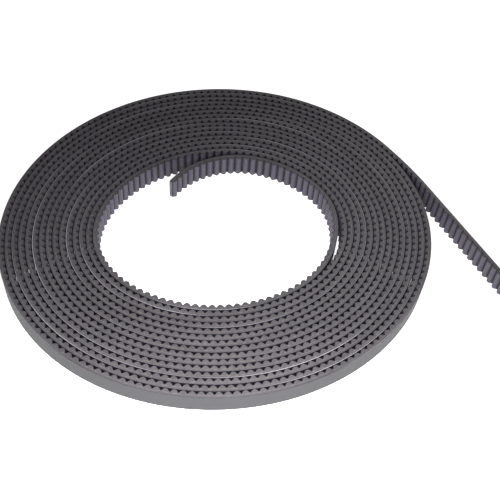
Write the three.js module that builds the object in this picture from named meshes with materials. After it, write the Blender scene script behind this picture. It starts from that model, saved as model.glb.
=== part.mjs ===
// An open-ended timing belt, loosely coiled and standing on its slit edge.
//
// The belt is a flat composite strip. Going inwards from its smooth back it is a rubber backing, one
// layer of tension cords that run its whole length, moulded rubber teeth, and a fabric facing over
// the teeth. The teeth face the middle of the coil. Its two ends are free: the inner one curls into
// the open middle of the coil, and the outer one runs off in a straight tail. A belt bends at every
// point of its length, which is drawn here as three short bends that the rigid stretches turn about.
//
// Everything is an outline in the XY plane, extruded upwards by the belt's width.

import * as THREE from 'three';

const DEGREE = Math.PI / 180;
const FULL_TURN = 2 * Math.PI;

// The belt's section, in millimetres. Depths are measured from the pitch line, which is the middle
// of the cords: positive towards the smooth back, negative towards the teeth.
const PITCH = 2;
const WIDTH = 6;
const TOOTH_HEIGHT = 0.75;
const TOOTH_HALF_WIDTH = 0.92;
const FACING_THICKNESS = 0.08;
const BACK = 0.576;
const CORD_RADIUS = 0.12;
const ROOT = -0.254;
const TIP = ROOT - TOOTH_HEIGHT;

// The coil, in millimetres and radians. Its pitch line is given by its support function, the distance
// from the coil's axis to the tangent whose outward normal points at a given angle. The distance grows
// evenly with the angle turned, and an oval and a slight egg shape are added to it. As those depend
// only on the direction, every turn is an exact offset of the one inside it.
const AXIS_X = -12.116;
const AXIS_Y = -0.6;
const START_NORMAL = 80 * DEGREE;
const END_NORMAL = 44 * DEGREE;
const WHOLE_TURNS = 15;
const START_DISTANCE = 26.9647;
const GROWTH_PER_TURN = 1.64;
const OVAL = 3.03;
const OVAL_NORMAL = 14 * DEGREE;
const EGG = 0.19;
const EGG_NORMAL = 94 * DEGREE;
const TURNED = START_NORMAL - END_NORMAL + WHOLE_TURNS * FULL_TURN;

// On its right side the innermost turn stands a little way off the next one.
const SLACK = 0.7;
const SLACK_TURNED = 85 * DEGREE;
const SLACK_REACH = 42 * DEGREE;

// The free ends. The inner one is an arc tighter than the coil, and the outer one an arc flatter than
// the coil that runs into a straight length.
const INNER_END_RADIUS = 21.5;
const INNER_END_LENGTH = 13 * PITCH;
const TAIL_ARC_RADIUS = 108;
const TAIL_ARC_LENGTH = 9 * PITCH;
const TAIL_LENGTH = 31 * PITCH;

// A bend reaches this far to a free side of its hinge, and one station of the coil to the coil's side.
const BEND_HALF = 4 * PITCH;
const TAIL_MIDDLE = 17 * PITCH;

// An outline has a station at each of these steps, and this many points over each moulded tooth. The
// coil's stations keep to the same directions on every turn, so that its turns nest.
const COIL_STEP = 9 * DEGREE;
const END_STEP = PITCH;
const TOOTH_POINTS = 6;

// ---------------------------------------------------------------------------------------------
// The pitch line. A station is a point of it with the direction of its outward normal.

function slackAt(turned) {
  const reach = (turned - SLACK_TURNED) / SLACK_REACH;
  if (Math.abs(reach) >= 1) return { lift: 0, slope: 0 };
  return {
    lift: -SLACK * Math.cos((reach * Math.PI) / 2) ** 2,
    slope: (SLACK * Math.PI * Math.sin(reach * Math.PI)) / (2 * SLACK_REACH),
  };
}

function coilStation(turned) {
  const normal = START_NORMAL - turned;
  const slack = slackAt(turned);
  const oval = 2 * (normal - OVAL_NORMAL);
  const egg = 3 * (normal - EGG_NORMAL);
  const distance = START_DISTANCE + (GROWTH_PER_TURN * turned) / FULL_TURN
    + OVAL * Math.cos(oval) + EGG * Math.cos(egg) + slack.lift;
  const slope = -GROWTH_PER_TURN / FULL_TURN - 2 * OVAL * Math.sin(oval) - 3 * EGG * Math.sin(egg)
    - slack.slope;
  return {
    x: AXIS_X + distance * Math.cos(normal) - slope * Math.sin(normal),
    y: AXIS_Y + distance * Math.sin(normal) + slope * Math.cos(normal),
    normal,
  };
}

// A station further along an arc that starts at a given station. A positive length runs clockwise,
// as the coil does on its way out.
function arcStation(start, radius, length) {
  const normal = start.normal - length / radius;
  return {
    x: start.x + radius * (Math.cos(normal) - Math.cos(start.normal)),
    y: start.y + radius * (Math.sin(normal) - Math.sin(start.normal)),
    normal,
  };
}

function straightStation(start, length) {
  return {
    x: start.x + length * Math.sin(start.normal),
    y: start.y - length * Math.cos(start.normal),
    normal: start.normal,
  };
}

const coilStart = coilStation(0);
const coilEnd = coilStation(TURNED);
const tailStraightStart = arcStation(coilEnd, TAIL_ARC_RADIUS, TAIL_ARC_LENGTH);

function tailStation(length) {
  if (length <= TAIL_ARC_LENGTH) return arcStation(coilEnd, TAIL_ARC_RADIUS, length);
  return straightStation(tailStraightStart, length - TAIL_ARC_LENGTH);
}

// The inner end is measured from the coil's start towards the tip, so that its lengths run backwards.
function innerEndStation(length) {
  return arcStation(coilStart, INNER_END_RADIUS, -length);
}

// Values from first to last in equal steps of about the size given.
function steps(first, last, size) {
  const count = Math.max(1, Math.round(Math.abs(last - first) / size));
  return Array.from({ length: count + 1 }, (_, i) => first + ((last - first) * i) / count);
}

const innerSteps = (first, last) => steps(first, last, END_STEP).map((l) => innerEndStation(l));
const tailSteps = (first, last) => steps(first, last, END_STEP).map((l) => tailStation(l));
const coilSteps = (first, last) => steps(first, last, COIL_STEP).map((t) => coilStation(t));

// The stretches of the belt from the inner tip to the outer tip. Where the belt stands free its teeth
// are moulded one by one, and in the coil they are one band of the height of the teeth.
const STRETCHES = [
  {
    name: 'inner_end',
    stations: innerSteps(INNER_END_LENGTH, BEND_HALF),
    toothed: { from: INNER_END_LENGTH, to: BEND_HALF, at: innerEndStation },
  },
  {
    name: 'inner_bend',
    stations: [...innerSteps(BEND_HALF, 0), coilStation(COIL_STEP)],
  },
  {
    name: 'coil',
    stations: coilSteps(COIL_STEP, TURNED - COIL_STEP),
  },
  {
    name: 'tail_root_bend',
    stations: [coilStation(TURNED - COIL_STEP), ...tailSteps(0, BEND_HALF)],
  },
  {
    name: 'tail_root',
    stations: tailSteps(BEND_HALF, TAIL_MIDDLE - BEND_HALF),
    toothed: { from: BEND_HALF, to: TAIL_MIDDLE - BEND_HALF, at: tailStation },
  },
  {
    name: 'tail_middle_bend',
    stations: tailSteps(TAIL_MIDDLE - BEND_HALF, TAIL_MIDDLE + BEND_HALF),
    toothed: { from: TAIL_MIDDLE - BEND_HALF, to: TAIL_MIDDLE + BEND_HALF, at: tailStation },
  },
  {
    name: 'tail_tip',
    stations: tailSteps(TAIL_MIDDLE + BEND_HALF, TAIL_LENGTH),
    toothed: { from: TAIL_MIDDLE + BEND_HALF, to: TAIL_LENGTH, at: tailStation },
  },
];

// ---------------------------------------------------------------------------------------------
// Outlines and solids.

function offsetPoint(station, depth) {
  return new THREE.Vector2(
    station.x + depth * Math.cos(station.normal),
    station.y + depth * Math.sin(station.normal),
  );
}

const edge = (stations, depth) => stations.map((station) => offsetPoint(station, depth));

// The surface of the teeth along a stretch, one whole tooth to each pitch. A tooth is a mound with a
// parabola for its outline, of the half width given, standing on the root.
function toothEdge({ from, to, at }, root, tip, halfWidth) {
  const count = Math.round(Math.abs(to - from) / PITCH);
  const direction = Math.sign(to - from);
  const points = [offsetPoint(at(from), root)];
  for (let tooth = 0; tooth < count; tooth += 1) {
    const middle = from + direction * (tooth + 0.5) * PITCH;
    for (let i = 0; i <= TOOTH_POINTS; i += 1) {
      const across = (2 * i) / TOOTH_POINTS - 1;
      const depth = root + (tip - root) * (1 - across ** 2);
      points.push(offsetPoint(at(middle + direction * across * halfWidth), depth));
    }
  }
  points.push(offsetPoint(at(to), root));
  return points;
}

// A solid of the belt's width between two edges that run the same way.
function solid(outerEdge, innerEdge) {
  const outline = new THREE.Shape([...outerEdge, ...innerEdge.toReversed()]);
  return new THREE.ExtrudeGeometry(outline, { depth: WIDTH, bevelEnabled: false });
}

const belt = new THREE.Group();

const rubber = () => new THREE.MeshStandardMaterial({ color: 0x2e2d2f, roughness: 0.72, metalness: 0 });
const glassFibre = () => new THREE.MeshStandardMaterial({ color: 0xb8b2a2, roughness: 0.6, metalness: 0 });
const facingFabric = () => new THREE.MeshStandardMaterial({ color: 0x3a383d, roughness: 0.85, metalness: 0 });

function add(name, geometry, material) {
  const mesh = new THREE.Mesh(geometry, material);
  mesh.name = name;
  belt.add(mesh);
}

for (const { name, stations, toothed } of STRETCHES) {
  const cordsOuter = edge(stations, CORD_RADIUS);
  const cordsInner = edge(stations, -CORD_RADIUS);
  const rubberTip = TIP + FACING_THICKNESS;
  const rubberSurface = toothed
    ? toothEdge(toothed, ROOT + FACING_THICKNESS, rubberTip, TOOTH_HALF_WIDTH - FACING_THICKNESS)
    : edge(stations, rubberTip);
  const facingSurface = toothed
    ? toothEdge(toothed, ROOT, TIP, TOOTH_HALF_WIDTH)
    : edge(stations, TIP);
  add(`${name}_backing`, solid(edge(stations, BACK), cordsOuter), rubber());
  add(`${name}_tension_cords`, solid(cordsOuter, cordsInner), glassFibre());
  add(`${name}_teeth`, solid(cordsInner, rubberSurface), rubber());
  add(`${name}_tooth_facing`, solid(rubberSurface, facingSurface), facingFabric());
}

export default belt;
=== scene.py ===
"""An open-ended timing belt, loosely coiled and standing on its slit edge, in metres with +Z up.

The belt is a flat composite strip: a ground neoprene back, a layer of glass fibre tension cords,
moulded neoprene teeth, and a woven nylon facing over the teeth. One pitch of each layer is made as
a straight cell. Geometry Nodes repeat the cell along the belt, weld the cells into one closed
strip, and wind it along the path that the belt takes. Each layer is cut at tooth grooves where the
belt changes body.
"""

import logging
import math
from dataclasses import dataclass, field
from enum import Enum, IntEnum
from typing import Any

import bmesh
import bpy
import numpy as np
from mathutils import Matrix, Vector


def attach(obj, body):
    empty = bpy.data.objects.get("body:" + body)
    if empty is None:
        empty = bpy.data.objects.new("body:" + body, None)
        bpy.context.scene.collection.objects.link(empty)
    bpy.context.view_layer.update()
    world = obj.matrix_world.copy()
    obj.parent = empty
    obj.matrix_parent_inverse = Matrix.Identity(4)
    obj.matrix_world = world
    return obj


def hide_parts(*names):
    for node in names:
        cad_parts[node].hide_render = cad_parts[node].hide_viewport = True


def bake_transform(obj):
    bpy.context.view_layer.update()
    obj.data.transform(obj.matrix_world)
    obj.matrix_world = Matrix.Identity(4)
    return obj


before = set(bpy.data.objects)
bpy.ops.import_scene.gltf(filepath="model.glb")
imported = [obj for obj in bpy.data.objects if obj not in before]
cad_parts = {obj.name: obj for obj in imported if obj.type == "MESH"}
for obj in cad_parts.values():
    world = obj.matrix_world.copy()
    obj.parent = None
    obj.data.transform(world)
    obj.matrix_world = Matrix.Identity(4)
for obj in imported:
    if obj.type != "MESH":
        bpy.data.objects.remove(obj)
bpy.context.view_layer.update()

Tree = bpy.types.NodeTree
Node = bpy.types.Node
Socket = bpy.types.NodeSocket
Spacing = tuple[float, float, float]

log = logging.getLogger("timing_belt")

MM = 0.001
PLACE = "belt_place"
SURFACE = "belt_surface"
SHARP_ANGLE = math.radians(42)
WELD_MM = 0.004
WHITE = "#ffffff"


class Surface(IntEnum):
    """Which surface of a layer a face belongs to."""

    FACE = 0
    SLIT = 1
    START_CAP = 2
    END_CAP = 3


class Kind(Enum):
    """The node types that the trees use most."""

    MATHS = "ShaderNodeMath"
    VECTOR = "ShaderNodeVectorMath"
    NOISE = "ShaderNodeTexNoise"
    RANGE = "ShaderNodeMapRange"
    BUMP = "ShaderNodeBump"
    MIX = "ShaderNodeMix"


# ---------------------------------------------------------------------------------------------
# Nodes and colours.


def linear(hex_colour: str) -> tuple[float, float, float, float]:
    """Turns an sRGB colour into linear light.

    Args:
        hex_colour: Six hex digits, with or without a leading #.

    Returns:
        Red, green, blue and an alpha of 1.
    """
    digits = hex_colour.lstrip("#")
    channels = [int(digits[i : i + 2], 16) / 255 for i in (0, 2, 4)]
    values = [c / 12.92 if c <= 0.04045 else ((c + 0.055) / 1.055) ** 2.4 for c in channels]
    return (values[0], values[1], values[2], 1.0)


def add_node(
    tree: Tree, kind: str | Kind, inputs: dict[Any, Any] | None = None, **settings: Any
) -> Node:
    """Adds a node to a tree.

    Args:
        tree: The node tree it goes in.
        kind: The node's type.
        inputs: A value or an output socket for each input, by its name or index.
        **settings: The node's own properties.

    Returns:
        The new node.
    """
    node = tree.nodes.new(kind.value if isinstance(kind, Kind) else kind)
    for name, value in settings.items():
        setattr(node, name, value)
    for key, value in (inputs or {}).items():
        if isinstance(value, Socket):
            tree.links.new(value, node.inputs[key])
        else:
            node.inputs[key].default_value = value
    return node


def maths(tree: Tree, operation: str, first: Any, second: Any) -> Socket:
    """Adds a maths node.

    Args:
        tree: The node tree it goes in.
        operation: What it does.
        first: Its first value or socket.
        second: Its second value or socket, or None where it takes only one.

    Returns:
        The result.
    """
    inputs = {0: first} if second is None else {0: first, 1: second}
    return add_node(tree, Kind.MATHS, inputs, operation=operation).outputs[0]


def vector_maths(tree: Tree, operation: str, first: Any, second: Any) -> Socket:
    """Adds a vector maths node.

    Args:
        tree: The node tree it goes in.
        operation: What it does.
        first: Its first vector or socket.
        second: Its second one, the number that SCALE scales by, or None where it takes only one.

    Returns:
        The resulting vector.
    """
    inputs = {0: first}
    if second is not None:
        inputs["Scale" if operation == "SCALE" else 1] = second
    return add_node(tree, Kind.VECTOR, inputs, operation=operation).outputs[0]


def compare(tree: Tree, operation: str, first: Socket, second: int) -> Socket:
    """Adds a test of a whole number.

    Args:
        tree: The node tree it goes in.
        operation: The test.
        first: The number.
        second: What it is compared with.

    Returns:
        Whether the test holds.
    """
    inputs = {2: first, 3: int(second)}
    node = add_node(tree, "FunctionNodeCompare", inputs, data_type="INT", operation=operation)
    return node.outputs[0]


def share_between(tree: Tree, value: Socket, low: float, high: float) -> Socket:
    """Finds how far a value lies on the way from one number to another.

    Args:
        tree: The node tree it goes in.
        value: The value.
        low: Where the share is 0.
        high: Where it is 1.

    Returns:
        The share, held between 0 and 1.
    """
    inputs = {"Value": value, "From Min": low, "From Max": high}
    return add_node(tree, Kind.RANGE, inputs).outputs["Result"]


def mix_colours(tree: Tree, share: Socket, first: str | Socket, second: str) -> Socket:
    """Mixes two colours.

    Args:
        tree: The node tree it goes in.
        share: How much of the second colour shows.
        first: The first colour, in hex or as a socket.
        second: The second colour, in hex.

    Returns:
        The mixed colour.
    """
    under = linear(first) if isinstance(first, str) else first
    inputs = {0: share, 6: under, 7: linear(second)}
    return add_node(tree, Kind.MIX, inputs, data_type="RGBA").outputs[2]


# ---------------------------------------------------------------------------------------------
# The belt's section.


@dataclass(frozen=True)
class BeltSection:
    """One pitch of the belt in millimetres.

    A point is given by its place along the belt, its depth from the pitch line, outwards towards
    the back, and its height across the belt.
    """

    pitch: float = 2.0
    width: float = 6.0
    back: float = 0.576
    root: float = -0.254
    tooth_height: float = 0.75
    tooth_half_width: float = 0.92
    facing: float = 0.08
    back_bevel: float = 0.05
    cord_radius: float = 0.11
    cord_count: int = 10
    cord_sides: int = 5
    flank: tuple[float, ...] = (0.27, 0.52, 0.74, 0.90)

    def tooth_surface(self) -> list[tuple[float, float]]:
        """The moulded surface over one pitch: a parabola between two narrow grooves."""
        half = self.pitch / 2
        across = (-half, *(-x for x in reversed(self.flank)), 0.0, *self.flank, half)
        shares = [max(0.0, 1 - (x / self.tooth_half_width) ** 2) for x in across]
        return [(x + half, self.root - self.tooth_height * y) for x, y in zip(across, shares)]

    def facing_back(self) -> list[tuple[float, float]]:
        """The side of the facing that is bonded to the rubber, in from the tooth surface."""
        surface = np.array(self.tooth_surface())
        along = np.gradient(surface, axis=0)
        along /= np.linalg.norm(along, axis=1)[:, None]
        inner = surface + self.facing * np.stack([-along[:, 1], along[:, 0]], axis=1)
        inner[0, 0], inner[-1, 0] = 0.0, self.pitch
        return [(float(x), float(y)) for x, y in inner]


@dataclass
class Cell:
    """A straight, repeatable length of one layer, with the two caps that close the layer's ends."""

    rings: list[list[tuple[float, float, float]]]
    surfaces: list[Surface]

    def add_to(self, mesh: bmesh.types.BMesh) -> None:
        """Adds the cell's walls and caps.

        Args:
            mesh: The mesh, whose faces have the surface layer.
        """
        layer = mesh.faces.layers.int[SURFACE]
        grid = [[mesh.verts.new(Vector(point) * MM) for point in ring] for ring in self.rings]
        count = len(self.surfaces)
        for near, far in zip(grid, grid[1:]):
            for j, surface in enumerate(self.surfaces):
                k = (j + 1) % count
                mesh.faces.new((near[j], near[k], far[k], far[j]))[layer] = surface
        caps = ((self.rings[0][::-1], Surface.START_CAP), (self.rings[-1], Surface.END_CAP))
        for ring, surface in caps:
            mesh.faces.new([mesh.verts.new(Vector(point) * MM) for point in ring])[layer] = surface


class Layer(Enum):
    """The belt's layers from its smooth back to its teeth."""

    BACKING = "backing"
    CORDS = "tension_cords"
    TEETH = "teeth"
    FACING = "tooth_facing"


@dataclass(frozen=True)
class LayerMaker:
    """Makes the straight cells of each layer from the belt's section."""

    section: BeltSection

    def backing(self) -> list[Cell]:
        """The smooth rubber back, with its two edges eased, in two stations a pitch."""
        back, pitch = self.section.back, self.section.pitch
        width, bevel = self.section.width, self.section.back_bevel
        eased = [(back - bevel, 0.0), (back, bevel), (back, width - bevel), (back - bevel, width)]
        ring = [(0.0, 0.0), *eased, (0.0, width)]
        rings = [[(x, y, z) for y, z in ring] for x in (0.0, pitch / 2, pitch)]
        face, slit = Surface.FACE, Surface.SLIT
        return [Cell(rings, [slit, face, face, face, slit, face])]

    def teeth(self) -> list[Cell]:
        """One moulded tooth, from the pitch line to the back of the facing."""
        w, bonded = self.section.width, self.section.facing_back()
        rings = [[(x, y, 0.0), (x, 0.0, 0.0), (x, 0.0, w), (x, y, w)] for x, y in bonded]
        return [Cell(rings, [Surface.SLIT, Surface.FACE, Surface.SLIT, Surface.FACE])]

    def facing(self) -> list[Cell]:
        """The fabric over one tooth."""
        w = self.section.width
        sides = zip(self.section.tooth_surface(), self.section.facing_back())
        rings = [[(x, y, 0.0), (u, v, 0.0), (u, v, w), (x, y, w)] for (x, y), (u, v) in sides]
        return [Cell(rings, [Surface.SLIT, Surface.FACE, Surface.SLIT, Surface.FACE])]

    def cords(self, length: float) -> list[Cell]:
        """The cords side by side across the belt.

        Args:
            length: The cell's length in millimetres.

        Returns:
            One cell for each cord.
        """
        s = self.section
        cells = []
        for i in range(s.cord_count):
            middle = s.width * (i + 0.5) / s.cord_count
            angles = [2 * math.pi * j / s.cord_sides for j in range(s.cord_sides)]
            spokes = [(s.cord_radius * math.cos(a), s.cord_radius * math.sin(a)) for a in angles]
            rings = [[(x, y, middle + z) for y, z in spokes] for x in (0.0, length)]
            cells.append(Cell(rings, [Surface.FACE] * s.cord_sides))
        return cells


# ---------------------------------------------------------------------------------------------
# The way the belt lies.


@dataclass(frozen=True)
class BeltPath:
    """The pitch line from the inner tip to the outer tip, in millimetres and degrees.

    The coil is given by its support function, the distance from its axis to the tangent whose
    outward normal has a given angle. Places along the belt are measured from the tail's hinge,
    where the coil ends: negative into the coil and positive out along the tail.
    """

    axis: tuple[float, float] = (-12.116, -0.6)
    start_normal: float = 80.0
    turned: float = 5436.0
    start_distance: float = 26.9647
    growth_per_turn: float = 1.64
    oval: float = 3.03
    oval_normal: float = 14.0
    egg: float = 0.19
    egg_normal: float = 94.0
    slack: float = 0.7
    slack_turned: float = 85.0
    slack_reach: float = 42.0
    inner_end_radius: float = 21.5
    inner_end_length: float = 26.0
    inner_spare: float = 1.0
    tail_arc_radius: float = 108.0
    tail_arc_length: float = 18.0
    tail_length: float = 62.0
    coil_step: float = 0.5
    end_step: float = 0.25
    looseness: float = 0.027
    ripple_spacing: float = 110.0
    ripple_fade: tuple[float, float, float] = (360.0, 270.0, 180.0)
    edge_rise: float = 0.10
    rise_spacing: float = 80.0
    rise_fade: tuple[float, float, float] = (60.0, 100.0, 120.0)
    seed: int = 11

    def coil_points(self) -> tuple[np.ndarray, np.ndarray]:
        """The coil's points and the angles of their normals, in radians."""
        turned = np.radians(np.arange(0.0, self.turned + self.coil_step / 2, self.coil_step))
        normal = math.radians(self.start_normal) - turned
        oval = 2 * (normal - math.radians(self.oval_normal))
        egg = 3 * (normal - math.radians(self.egg_normal))
        growth = self.growth_per_turn / (2 * math.pi)
        reach = (turned - math.radians(self.slack_turned)) / math.radians(self.slack_reach)
        steepest = self.slack * math.pi / (2 * math.radians(self.slack_reach))
        loose = np.abs(reach) < 1
        lift = np.where(loose, -self.slack * np.cos(reach * math.pi / 2) ** 2, 0.0)
        slack_slope = np.where(loose, steepest * np.sin(reach * math.pi), 0.0)
        distance = self.start_distance + growth * turned + lift
        distance += self.oval * np.cos(oval) + self.egg * np.cos(egg)
        slope = -growth - 2 * self.oval * np.sin(oval) - 3 * self.egg * np.sin(egg) - slack_slope
        outward = np.stack([np.cos(normal), np.sin(normal)], axis=1)
        sideways = np.stack([-np.sin(normal), np.cos(normal)], axis=1)
        points = np.array(self.axis) + distance[:, None] * outward + slope[:, None] * sideways
        return points + self.ripple(turned)[:, None] * outward, normal

    def inner_reach(self) -> float:
        """How far the path runs inwards past the coil, a little more than the inner end needs."""
        return self.inner_end_length + self.inner_spare

    def ripple(self, turned: np.ndarray) -> np.ndarray:
        """How far each point of the coil stands out of its even place, fading to none at both ends.

        Args:
            turned: The angle turned at each point, in radians.

        Returns:
            The offsets in millimetres.
        """
        draw = np.random.default_rng(self.seed)
        knots = np.arange(0.0, self.turned + 2 * self.ripple_spacing, self.ripple_spacing)
        heights = draw.uniform(-1.0, 1.0, len(knots))
        first, last, reach = self.ripple_fade
        inside = np.minimum(knots - first, self.turned - last - knots)
        fade = np.clip(inside / reach, 0.0, 1.0)
        return self.looseness * smooth_between(np.degrees(turned), knots, heights * fade)

    def arc(
        self, start: np.ndarray, normal: float, radius: float, length: float
    ) -> tuple[np.ndarray, float]:
        """Points along an arc, without its first one.

        Args:
            start: The arc's first point.
            normal: The angle of the outward normal there, in radians.
            radius: The arc's radius.
            length: Its length, negative to run back towards the inner tip.

        Returns:
            The points, and the normal's angle at the last one.
        """
        count = max(1, round(abs(length) / self.end_step))
        angles = normal - length / radius * np.arange(1, count + 1) / count
        x = start[0] + radius * (np.cos(angles) - math.cos(normal))
        y = start[1] + radius * (np.sin(angles) - math.sin(normal))
        return np.stack([x, y], axis=1), float(angles[-1])

    def points(self) -> tuple[np.ndarray, np.ndarray]:
        """The whole path, with each point's place along the belt.

        Returns:
            The points, with the height that the belt's lower edge stands at, and their places.
        """
        coil, normals = self.coil_points()
        first, last = float(normals[0]), float(normals[-1])
        inner, _ = self.arc(coil[0], first, self.inner_end_radius, -self.inner_reach())
        bow, bow_normal = self.arc(coil[-1], last, self.tail_arc_radius, self.tail_arc_length)
        rest = self.tail_length - self.tail_arc_length
        ahead = np.array([math.sin(bow_normal), -math.cos(bow_normal)])
        count = round(rest / self.end_step)
        straight = bow[-1] + ahead * (rest * np.arange(1, count + 1) / count)[:, None]
        flat = np.concatenate([inner[::-1], coil, bow, straight])
        steps = np.linalg.norm(np.diff(flat, axis=0), axis=1)
        travelled = np.concatenate([[0.0], np.cumsum(steps)])
        place = travelled - travelled[len(inner) + len(coil) - 1]
        return np.column_stack([flat, self.rise(place)]), place

    def rise(self, place: np.ndarray) -> np.ndarray:
        """How high the lower edge stands, because no turn sits quite level with the next.

        Args:
            place: Places along the belt.

        Returns:
            The heights in millimetres, with both free ends on the surface.
        """
        draw = np.random.default_rng(self.seed + 1)
        spacing = self.rise_spacing
        knots = np.arange(place[0] - spacing, place[-1] + 2 * spacing, spacing)
        heights = draw.uniform(0.0, 1.0, len(knots))
        first, last, reach = self.rise_fade
        fade = np.clip(np.minimum(knots - place[0] - first, -last - knots) / reach, 0.0, 1.0)
        return self.edge_rise * smooth_between(place, knots, heights * fade)


def smooth_between(at: np.ndarray, knots: np.ndarray, heights: np.ndarray) -> np.ndarray:
    """Eases from each knot's height to the next.

    Args:
        at: Where the heights are wanted.
        knots: Evenly rising knots.
        heights: The height at each knot.

    Returns:
        The height at each place asked for.
    """
    index = np.clip(np.searchsorted(knots, at, side="right") - 1, 0, len(knots) - 2)
    share = np.clip((at - knots[index]) / (knots[index + 1] - knots[index]), 0.0, 1.0)
    share = share * share * (3 - 2 * share)
    return heights[index] * (1 - share) + heights[index + 1] * share


# ---------------------------------------------------------------------------------------------
# Finishes.


@dataclass(frozen=True)
class Finish:
    """One principled shader, with a pattern laid out on the straight belt's own places."""

    name: str
    colour: str
    roughness: float
    ior: float = 1.52

    def make(self) -> bpy.types.Material:
        """Builds the material.

        Returns:
            The new material.
        """
        material = bpy.data.materials.new(self.name)
        material.use_nodes = True
        tree = material.node_tree
        tree.nodes.clear()
        look = {"Base Color": linear(self.colour), "Roughness": self.roughness, "IOR": self.ior}
        shader = add_node(tree, "ShaderNodeBsdfPrincipled", look)
        add_node(tree, "ShaderNodeOutputMaterial", {"Surface": shader.outputs["BSDF"]})
        place = add_node(
            tree, "ShaderNodeAttribute", attribute_name=PLACE, attribute_type="GEOMETRY"
        )
        self.pattern(tree, shader, vector_maths(tree, "SCALE", place.outputs["Vector"], 1 / MM))
        return material

    def pattern(self, tree: Tree, shader: Node, place: Socket) -> None:
        """Lays the finish's pattern over the shader. A plain finish has none.

        Args:
            tree: The material's nodes.
            shader: Its principled shader.
            place: Where the point lies on the straight belt, in millimetres.
        """

    def streaks(self, tree: Tree, place: Socket, spacing: Spacing) -> Socket:
        """Makes noise with its own spacing along, into and across the belt.

        Args:
            tree: The material's nodes.
            place: The straight place in millimetres.
            spacing: The size of a feature in each direction, in millimetres.

        Returns:
            The noise's value.
        """
        scaled = vector_maths(tree, "MULTIPLY", place, tuple(1 / size for size in spacing))
        noise = add_node(tree, Kind.NOISE, {"Vector": scaled, "Scale": 1.0, "Detail": 2.0})
        return noise.outputs["Fac"]

    def relief(
        self, tree: Tree, shader: Node, height: Socket, depth: float, strength: float
    ) -> None:
        """Gives the shader a relief.

        Args:
            tree: The material's nodes.
            shader: Its principled shader.
            height: The relief's height, from 0 to 1.
            depth: The relief's full height in millimetres.
            strength: How much of it shows.
        """
        inputs = {"Height": height, "Distance": depth * MM, "Strength": strength}
        bump = add_node(tree, Kind.BUMP, inputs)
        tree.links.new(bump.outputs["Normal"], shader.inputs["Normal"])


@dataclass(frozen=True)
class GroundNeoprene(Finish):
    """Carbon-black neoprene, ground to thickness.

    It looks matt black with a faint sheen, fine lines along the belt and a slight bloom, the grey
    haze that rubber takes as it ages.
    """

    dusty: str = "#201e28"
    grind_spacing: Spacing = (9.0, 1.0, 0.22)
    grind_depth: float = 0.012
    grind_strength: float = 0.6
    bloom_spacing: Spacing = (14.0, 1.0, 5.0)

    def pattern(self, tree: Tree, shader: Node, place: Socket) -> None:
        """Lays on the grinding lines and the bloom. The arguments are those of a plain finish."""
        bloom = self.streaks(tree, place, self.bloom_spacing)
        colour = mix_colours(tree, bloom, self.colour, self.dusty)
        tree.links.new(colour, shader.inputs["Base Color"])
        lines = self.streaks(tree, place, self.grind_spacing)
        self.relief(tree, shader, lines, self.grind_depth, self.grind_strength)


@dataclass(frozen=True)
class SlitNeoprene(Finish):
    """Neoprene cut by a slitting knife.

    It looks greyer than the moulded rubber, with blade lines, a slow drift from turn to turn and
    specks of cut cord on the pitch line. In places a pale painted highlight runs along the back
    edge.
    """

    pale: str = "#5f5c61"
    fleck: str = "#7d776c"
    # The colour of the painted highlight along the back edge.
    edge_highlight: str = "#aba8ae"
    blade_spacing: Spacing = (0.5, 0.09, 1.0)
    blade_depth: float = 0.004
    blade_strength: float = 0.5
    drift_spacing: Spacing = (26.0, 3.0, 1.0)
    pale_span: tuple[float, float] = (0.7, 1.35)
    fleck_spacing: Spacing = (1.1, 0.10, 1.0)
    fleck_span: tuple[float, float] = (0.52, 0.62)
    cord_band: float = 0.16
    highlight_spacing: Spacing = (70.0, 4.0, 1.0)
    highlight_span: tuple[float, float] = (0.5, 0.64)
    highlight_from: float = 0.38

    def pattern(self, tree: Tree, shader: Node, place: Socket) -> None:
        """Lays on the lines, the drift, the flecks and the painted edge highlight, as on a plain
        finish.
        """
        drift = self.streaks(tree, place, self.drift_spacing)
        blade = self.streaks(tree, place, self.blade_spacing)
        share = share_between(tree, maths(tree, "ADD", drift, blade), *self.pale_span)
        rubber = mix_colours(tree, share, self.colour, self.pale)
        depth = add_node(tree, "ShaderNodeSeparateXYZ", {0: place}).outputs["Y"]
        off_line = maths(tree, "ABSOLUTE", depth, None)
        band = maths(tree, "LESS_THAN", off_line, self.cord_band)
        specks = self.streaks(tree, place, self.fleck_spacing)
        flecked = self.patch(tree, rubber, band, specks, self.fleck_span, self.fleck)
        # Painted highlight: pale patches along the back edge, standing in for the light that the
        # edges catch.
        edge = maths(tree, "GREATER_THAN", depth, self.highlight_from)
        highlight_patches = self.streaks(tree, place, self.highlight_spacing)
        colour = self.patch(tree, flecked, edge, highlight_patches, self.highlight_span, self.edge_highlight)
        tree.links.new(colour, shader.inputs["Base Color"])
        self.relief(tree, shader, blade, self.blade_depth, self.blade_strength)

    def patch(
        self,
        tree: Tree,
        under: Socket,
        band: Socket,
        noise: Socket,
        span: tuple[float, float],
        colour: str,
    ) -> Socket:
        """Lays a colour in patches along a band.

        Args:
            tree: The material's nodes.
            under: The colour beneath.
            band: 1 inside the band, and 0 outside it.
            noise: The noise that says where the patches are.
            span: The noise's values where a patch starts and where it is full.
            colour: The patches' colour, in hex.

        Returns:
            The colour with the patches on.
        """
        shown = share_between(tree, noise, *span)
        return mix_colours(tree, maths(tree, "MULTIPLY", band, shown), under, colour)


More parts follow.
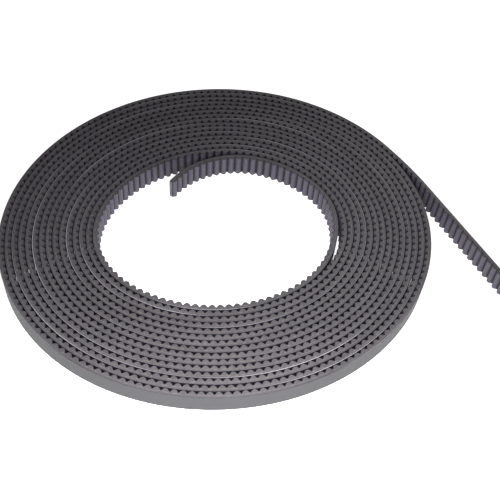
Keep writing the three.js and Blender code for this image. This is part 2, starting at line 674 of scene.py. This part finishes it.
@dataclass(frozen=True)
class WovenNylon(Finish):
    """Nylon twill bonded over the teeth.

    It looks a soft violet grey with its threads both ways, and painted shade darkens it towards the
    groove roots. Real threads lie 0.12 mm apart. They are drawn at 0.30 mm so that they show.
    """

    thread: str = "#555060"
    # The painted shade's colour at the groove roots.
    groove: str = "#060508"
    thread_spacing: float = 0.30
    thread_depth: float = 0.03
    thread_strength: float = 0.5
    groove_depth: float = -0.254
    crest_depth: float = -0.62

    def pattern(self, tree: Tree, shader: Node, place: Socket) -> None:
        """Lays on the weave and the painted shade in the grooves. The arguments are those of a
        plain finish.
        """
        parts = add_node(tree, "ShaderNodeSeparateXYZ", {0: place}).outputs
        turn = 2 * math.pi / self.thread_spacing
        along, across = (
            maths(tree, "SINE", maths(tree, "MULTIPLY", parts[axis], turn), None) for axis in "XZ"
        )
        height = share_between(tree, maths(tree, "MULTIPLY", along, across), -1.0, 1.0)
        cloth = mix_colours(tree, height, self.colour, self.thread)
        # Painted shade: the cloth darkens from part way up the tooth to near black at the groove
        # root.
        painted_groove_shade = share_between(tree, parts["Y"], self.crest_depth, self.groove_depth)
        tree.links.new(mix_colours(tree, painted_groove_shade, cloth, self.groove), shader.inputs["Base Color"])
        self.relief(tree, shader, height, self.thread_depth, self.thread_strength)


@dataclass(frozen=True)
class GlassFibre(Finish):
    """Twisted glass fibre dipped in latex: a pale straw colour, dull where the knife has cut it."""


@dataclass(frozen=True)
class Finishes:
    """The belt's finishes, and the ones that each layer takes for its faces and for its cut edges.
    """

    back: GroundNeoprene = GroundNeoprene("ground_neoprene", "#15141a", 0.55)
    slit: SlitNeoprene = SlitNeoprene("slit_neoprene", "#474448", 0.48)
    tooth_rubber: GroundNeoprene = GroundNeoprene("moulded_neoprene", "#1f1f22", 0.55)
    nylon: WovenNylon = WovenNylon("woven_nylon_facing", "#3a3644", 0.62)
    nylon_edge: Finish = Finish("slit_nylon_edge", "#2a282d", 0.70)
    cord: GlassFibre = GlassFibre("latex_dipped_glass_fibre", "#b8b09c", 0.60)

    def made(self) -> dict[Layer, tuple[bpy.types.Material, bpy.types.Material]]:
        """Makes each layer's materials.

        Returns:
            The material of the layer's faces, and that of its slit edges and cut ends.
        """
        slit = self.slit.make()
        cord = self.cord.make()
        return {
            Layer.BACKING: (self.back.make(), slit),
            Layer.CORDS: (cord, cord),
            Layer.TEETH: (self.tooth_rubber.make(), slit),
            Layer.FACING: (self.nylon.make(), self.nylon_edge.make()),
        }


# ---------------------------------------------------------------------------------------------
# Winding.


@dataclass
class WindingTree:
    """The Geometry Nodes that repeat a straight cell, weld it into one strip and wind it."""

    name: str = "wind_belt"
    tree: Any = None
    sockets: dict[str, str] = field(default_factory=dict)

    def build(self) -> "WindingTree":
        """Builds the node group.

        Returns:
            This tree, with its inputs' identifiers known.
        """
        self.tree = bpy.data.node_groups.new(self.name, "GeometryNodeTree")
        kinds = {
            "Cell": "NodeSocketGeometry",
            "Path": "NodeSocketObject",
            "Cell Length": "NodeSocketFloat",
            "Cell Count": "NodeSocketInt",
            "Way In": "NodeSocketFloat",
            "Place Shift": "NodeSocketFloat",
            "Weld Distance": "NodeSocketFloat",
            "Sharp Angle": "NodeSocketFloat",
            "Face Finish": "NodeSocketMaterial",
            "Slit Finish": "NodeSocketMaterial",
        }
        for name, kind in kinds.items():
            socket = self.tree.interface.new_socket(name, in_out="INPUT", socket_type=kind)
            self.sockets[name] = socket.identifier
        self.tree.interface.new_socket(
            "Strip", in_out="OUTPUT", socket_type="NodeSocketGeometry"
        )
        given = self.add("NodeGroupInput").outputs
        self.dress(given, self.wind(given, self.straight_strip(given)))
        return self

    def add(self, kind: str, inputs: dict[Any, Any] | None = None, **settings: Any) -> Node:
        """Adds a node to this tree, as add_node does."""
        return add_node(self.tree, kind, inputs, **settings)

    def surface(self) -> Socket:
        """The number that says which surface a face belongs to."""
        named = self.add("GeometryNodeInputNamedAttribute", {"Name": SURFACE}, data_type="INT")
        return named.outputs["Attribute"]

    def part(self, cell: Socket, surface: Socket, low: Surface, high: Surface) -> Socket:
        """Takes the faces of a cell whose surface lies in a range.

        Args:
            cell: The cell.
            surface: Each face's surface.
            low: The first surface in the range.
            high: The last one.

        Returns:
            Those faces.
        """
        over = compare(self.tree, "GREATER_EQUAL", surface, low)
        under = compare(self.tree, "LESS_EQUAL", surface, high)
        both = self.add("FunctionNodeBooleanMath", {0: over, 1: under})
        chosen = {0: cell, 1: both.outputs[0]}
        return self.add("GeometryNodeSeparateGeometry", chosen, domain="FACE").outputs["Selection"]

    def straight_strip(self, given: Any) -> Socket:
        """Repeats the cell, caps both ends and welds the joins.

        Args:
            given: The group's inputs.

        Returns:
            The straight strip, starting at zero.
        """
        cell, length, count = given["Cell"], given["Cell Length"], given["Cell Count"]
        surface = self.surface()
        walls = self.part(cell, surface, Surface.FACE, Surface.SLIT)
        start = self.part(cell, surface, Surface.START_CAP, Surface.START_CAP)
        end = self.part(cell, surface, Surface.END_CAP, Surface.END_CAP)
        step = self.add("ShaderNodeCombineXYZ", {"X": length}).outputs[0]
        line = self.add("GeometryNodeMeshLine", {"Count": count, "Offset": step}, mode="OFFSET")
        copies = {"Points": line.outputs[0], "Instance": walls}
        row = self.add("GeometryNodeInstanceOnPoints", copies)
        reach = maths(self.tree, "MULTIPLY", maths(self.tree, "SUBTRACT", count, 1.0), length)
        shift = self.add("ShaderNodeCombineXYZ", {"X": reach}).outputs[0]
        far_cap = self.add("GeometryNodeTransform", {"Geometry": end, "Translation": shift})
        joined = self.add("GeometryNodeJoinGeometry")
        for part in (far_cap.outputs[0], start, row.outputs[0]):
            self.tree.links.new(part, joined.inputs[0])
        real = self.add("GeometryNodeRealizeInstances", {0: joined.outputs[0]})
        weld = {"Geometry": real.outputs[0], "Distance": given["Weld Distance"]}
        return self.add("GeometryNodeMergeByDistance", weld).outputs[0]

    def wind(self, given: Any, straight: Socket) -> Socket:
        """Keeps each point's straight place, and sets the strip out along the path.

        Args:
            given: The group's inputs.
            straight: The straight strip.

        Returns:
            The wound strip.
        """
        position = self.add("GeometryNodeInputPosition").outputs[0]
        along = self.add("ShaderNodeSeparateXYZ", {0: position}).outputs
        shift = self.add("ShaderNodeCombineXYZ", {"X": given["Place Shift"]}).outputs[0]
        place = vector_maths(self.tree, "ADD", position, shift)
        kept = self.add(
            "GeometryNodeStoreNamedAttribute",
            {"Geometry": straight, "Name": PLACE, "Value": place},
            data_type="FLOAT_VECTOR",
            domain="POINT",
        )
        path = self.add("GeometryNodeObjectInfo", {"Object": given["Path"]}).outputs["Geometry"]
        way = maths(self.tree, "ADD", along["X"], given["Way In"])
        sample = self.add("GeometryNodeSampleCurve", {"Curves": path, "Length": way}, mode="LENGTH")
        up = (0.0, 0.0, 1.0)
        sideways = vector_maths(self.tree, "CROSS_PRODUCT", up, sample.outputs["Tangent"])
        outward = vector_maths(self.tree, "NORMALIZE", sideways, None)
        depth = vector_maths(self.tree, "SCALE", outward, along["Y"])
        height = self.add("ShaderNodeCombineXYZ", {"Z": along["Z"]}).outputs[0]
        flat = vector_maths(self.tree, "ADD", sample.outputs["Position"], depth)
        lifted = vector_maths(self.tree, "ADD", flat, height)
        moved = {"Geometry": kept.outputs[0], "Position": lifted}
        return self.add("GeometryNodeSetPosition", moved).outputs[0]

    def dress(self, given: Any, strip: Socket) -> None:
        """Marks the strip's hard edges and gives it its finishes.

        Args:
            given: The group's inputs.
            strip: The wound strip.
        """
        angle = self.add("GeometryNodeInputMeshEdgeAngle").outputs["Unsigned Angle"]
        hard = maths(self.tree, "GREATER_THAN", angle, given["Sharp Angle"])
        marked = self.add(
            "GeometryNodeStoreNamedAttribute",
            {"Geometry": strip, "Name": "sharp_edge", "Value": hard},
            data_type="BOOLEAN",
            domain="EDGE",
        )
        cut = compare(self.tree, "GREATER_EQUAL", self.surface(), Surface.SLIT)
        real = self.add("GeometryNodeRealizeInstances", {0: marked.outputs[0]}).outputs[0]
        faces = {"Geometry": real, "Material": given["Face Finish"]}
        faced = self.add("GeometryNodeSetMaterial", faces).outputs[0]
        edges = {"Geometry": faced, "Selection": cut, "Material": given["Slit Finish"]}
        edged = self.add("GeometryNodeSetMaterial", edges).outputs[0]
        self.add("NodeGroupOutput", {0: edged})


@dataclass(frozen=True)
class Stretch:
    """A length of the belt that is one piece in each layer."""

    name: str
    first: float
    last: float
    nodes: tuple[str, ...]
    body: str
    next_body: str | None = None
    bend: tuple[float, float] | None = None


@dataclass
class Winder:
    """Makes the belt's pieces: one closed mesh for each layer of each stretch."""

    section: BeltSection
    path: BeltPath
    finishes: Finishes
    cord_step: float = 3.0
    tree: WindingTree = field(default_factory=WindingTree)

    def __post_init__(self) -> None:
        """Lays out the path and builds what every piece shares."""
        self.points, self.places = self.path.points()
        self.curve = self.path_curve()
        self.materials = self.finishes.made()
        self.tree.build()

    def path_curve(self) -> bpy.types.Object:
        """The path as a curve that the nodes sample, which is removed once the pieces are made."""
        data = bpy.data.curves.new("belt_path", "CURVE")
        data.dimensions = "3D"
        spline = data.splines.new("POLY")
        spline.points.add(len(self.points) - 1)
        weighted = np.column_stack([self.points * MM, np.ones(len(self.points))])
        spline.points.foreach_set("co", weighted.ravel())
        curve = bpy.data.objects.new("belt_path", data)
        bpy.context.scene.collection.objects.link(curve)
        return curve

    def cells(self, layer: Layer, span: float) -> tuple[list[Cell], float, int]:
        """The cells that make a length of one layer.

        Args:
            layer: The layer.
            span: The length in millimetres.

        Returns:
            The cells that repeat together, their length and how many there are.
        """
        maker = LayerMaker(self.section)
        if layer is Layer.CORDS:
            count = round(span / self.cord_step)
            return maker.cords(span / count), span / count, count
        made = {Layer.BACKING: maker.backing, Layer.TEETH: maker.teeth, Layer.FACING: maker.facing}
        return made[layer](), self.section.pitch, round(span / self.section.pitch)

    def piece(self, stretch: Stretch, layer: Layer) -> bpy.types.Object:
        """Makes one piece.

        Args:
            stretch: The length of the belt.
            layer: The layer.

        Returns:
            The piece, riding on its body, or left in place with no body where its stretch has a
            bend.
        """
        cells, length, count = self.cells(layer, stretch.last - stretch.first)
        mesh = bmesh.new()
        mesh.faces.layers.int.new(SURFACE)
        for cell in cells:
            cell.add_to(mesh)
        name = f"{stretch.name}_{layer.value}"
        data = bpy.data.meshes.new(name)
        mesh.to_mesh(data)
        mesh.free()
        face, slit = self.materials[layer]
        for material in dict.fromkeys((face, slit)):
            data.materials.append(material)
        obj = bpy.data.objects.new(name, data)
        bpy.context.scene.collection.objects.link(obj)
        self.wind(
            obj,
            {
                "Path": self.curve,
                "Cell Length": length * MM,
                "Cell Count": count,
                "Way In": (stretch.first - self.places[0]) * MM,
                "Place Shift": (stretch.first - self.places[0]) * MM,
                "Weld Distance": WELD_MM * MM,
                "Sharp Angle": SHARP_ANGLE,
                "Face Finish": face,
                "Slit Finish": slit,
            },
        )
        self.attach(obj, stretch, layer)
        return obj

    def wind(self, obj: bpy.types.Object, values: dict[str, Any]) -> None:
        """Winds a cell into its piece and keeps the result as a plain mesh.

        Args:
            obj: The object that holds the cell.
            values: The tree's inputs by name.
        """
        modifier = obj.modifiers.new("wind", "NODES")
        modifier.node_group = self.tree.tree
        for name, value in values.items():
            modifier[self.tree.sockets[name]] = value
        depsgraph = bpy.context.evaluated_depsgraph_get()
        wound = bpy.data.meshes.new_from_object(obj.evaluated_get(depsgraph), depsgraph=depsgraph)
        obj.modifiers.remove(modifier)
        cell, obj.data = obj.data, wound
        wound.name = obj.name
        bpy.data.meshes.remove(cell)

    def attach(self, obj: bpy.types.Object, stretch: Stretch, layer: Layer) -> None:
        """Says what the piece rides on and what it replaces.

        Args:
            obj: The piece.
            stretch: The length of the belt that it is.
            layer: Its layer.
        """
        if stretch.bend is None:
            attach(obj, stretch.body)
        else:
            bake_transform(obj)
        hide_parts(*(f"{node}_{layer.value}" for node in stretch.nodes))

    def finish(self) -> None:
        """Removes the path once nothing needs it."""
        data = self.curve.data
        bpy.data.objects.remove(self.curve)
        bpy.data.curves.remove(data)


@dataclass(frozen=True)
class Cuts:
    """Where one stretch gives way to the next, and where each bends, in millimetres.

    Places are measured from the tail's hinge, apart from curl_bend, which is measured from the
    inner end's. Each bend runs from its first body's side to its second's.
    """

    curl_length: float = 34.0
    curl_bend: tuple[float, float] = (4.9, -8.0)
    wound_last: float = -12.0
    lead_off_last: float = 16.0
    lead_off_bend: tuple[float, float] = (-7.8, 8.0)
    run_bend: tuple[float, float] = (26.0, 42.0)

    def stretches(self, path: BeltPath, inner_hinge: float) -> list[Stretch]:
        """The belt's stretches from its inner tip to its outer tip.

        Args:
            path: The way the belt lies.
            inner_hinge: The place where the inner end leaves the coil.

        Returns:
            The stretches. Each meets the next at a tooth groove that doesn't bend.
        """
        tip = 2 * round((inner_hinge - path.inner_end_length) / 2)
        curl_last = tip + self.curl_length
        start, end = (inner_hinge + way for way in self.curl_bend)
        inner, root = ("inner_end", "inner_bend"), ("tail_root_bend", "tail_root")
        outer = ("tail_middle_bend", "tail_tip")
        return [
            Stretch("curl", tip, curl_last, inner, "coil", "inner_end", (start, end)),
            Stretch("wound", curl_last, self.wound_last, ("coil",), "coil"),
            Stretch(
                "lead_off",
                self.wound_last,
                self.lead_off_last,
                root,
                "coil",
                "tail_root",
                self.lead_off_bend,
            ),
            Stretch(
                "run",
                self.lead_off_last,
                path.tail_length,
                outer,
                "tail_root",
                "tail_tip",
                self.run_bend,
            ),
        ]


# ---------------------------------------------------------------------------------------------
# The studio.


@dataclass(frozen=True)
class Studio:
    """The camera, a white surface lit from below, and soft boxes above its front and its back."""

    camera_mm: tuple[float, float, float] = (-3.996, -141.74, 187.49)
    camera_down: float = 53.46
    camera_roll: float = 5.31
    lens: float = 65.66
    floor_half: float = 3.0
    floor_colour: str = WHITE
    floor_glow: float = 0.95
    surround: float = 0.12
    front_box_mm: tuple[float, float, float] = (-3.0, -80.0, 75.0)
    front_box_power: float = 0.19
    back_box_mm: tuple[float, float, float] = (60.0, 120.0, 150.0)
    back_box_power: float = 0.05
    box_size: float = 0.06

    def camera(self) -> None:
        """Sets the camera up and makes it the scene's."""
        data = bpy.data.cameras.new("studio_camera")
        data.lens = self.lens
        data.clip_start, data.clip_end = 0.01, 20.0
        camera = bpy.data.objects.new("studio_camera", data)
        bpy.context.scene.collection.objects.link(camera)
        tilt = Matrix.Rotation(math.radians(90 - self.camera_down), 4, "X")
        roll = Matrix.Rotation(math.radians(self.camera_roll), 4, "Z")
        camera.matrix_world = Matrix.Translation(Vector(self.camera_mm) * MM) @ tilt @ roll
        bpy.context.scene.camera = camera
        bpy.context.scene.view_settings.view_transform = "Standard"

    def floor(self) -> None:
        """Lays a white acrylic surface, which glows a little as one lit from below does."""
        r = self.floor_half
        data = bpy.data.meshes.new("floor")
        data.from_pydata([(-r, -r, 0), (r, -r, 0), (r, r, 0), (-r, r, 0)], [], [(0, 1, 2, 3)])
        floor = bpy.data.objects.new("floor", data)
        bpy.context.scene.collection.objects.link(floor)
        material = bpy.data.materials.new("white_acrylic")
        material.use_nodes = True
        shader = material.node_tree.nodes["Principled BSDF"]
        shader.inputs["Base Color"].default_value = linear(self.floor_colour)
        shader.inputs["Roughness"].default_value = 0.9
        shader.inputs["Specular IOR Level"].default_value = 0.0
        shader.inputs["Emission Color"].default_value = linear(self.floor_colour)
        shader.inputs["Emission Strength"].default_value = self.floor_glow
        data.materials.append(material)

    def lights(self) -> None:
        """Puts up the even surround and the two soft boxes."""
        world = bpy.data.worlds.new("surround")
        world.use_nodes = True
        world.node_tree.nodes["Background"].inputs["Color"].default_value = linear(WHITE)
        world.node_tree.nodes["Background"].inputs["Strength"].default_value = self.surround
        bpy.context.scene.world = world
        self.soft_box("front_soft_box", self.front_box_mm, self.front_box_power)
        self.soft_box("back_soft_box", self.back_box_mm, self.back_box_power)

    def soft_box(self, name: str, place_mm: tuple[float, float, float], power: float) -> None:
        """Puts up one soft box that faces straight down.

        Args:
            name: The box's name.
            place_mm: Where its middle is.
            power: Its power in watts.
        """
        data = bpy.data.lights.new(name, "AREA")
        data.shape = "SQUARE"
        data.size = self.box_size
        data.energy = power
        light = bpy.data.objects.new(name, data)
        light.location = Vector(place_mm) * MM
        light.visible_camera = False
        bpy.context.scene.collection.objects.link(light)

    def build(self) -> None:
        """Builds the studio, the camera first."""
        self.camera()
        self.floor()
        self.lights()


def main() -> None:
    """Builds the studio and the belt, and reports each piece."""
    logging.basicConfig(level=logging.INFO, format="%(name)s: %(message)s")
    Studio().build()
    path = BeltPath()
    winder = Winder(BeltSection(), path, Finishes())
    inner_hinge = float(winder.places[round(path.inner_reach() / path.end_step)])
    lengths = Cuts().stretches(path, inner_hinge)
    log.info("belt %.0f mm from tip to tip", lengths[-1].last - lengths[0].first)
    for stretch in lengths:
        for layer in Layer:
            piece = winder.piece(stretch, layer)
            log.info("%s: %d faces", piece.name, len(piece.data.polygons))
    winder.finish()


if __name__ == "__main__":
    main()
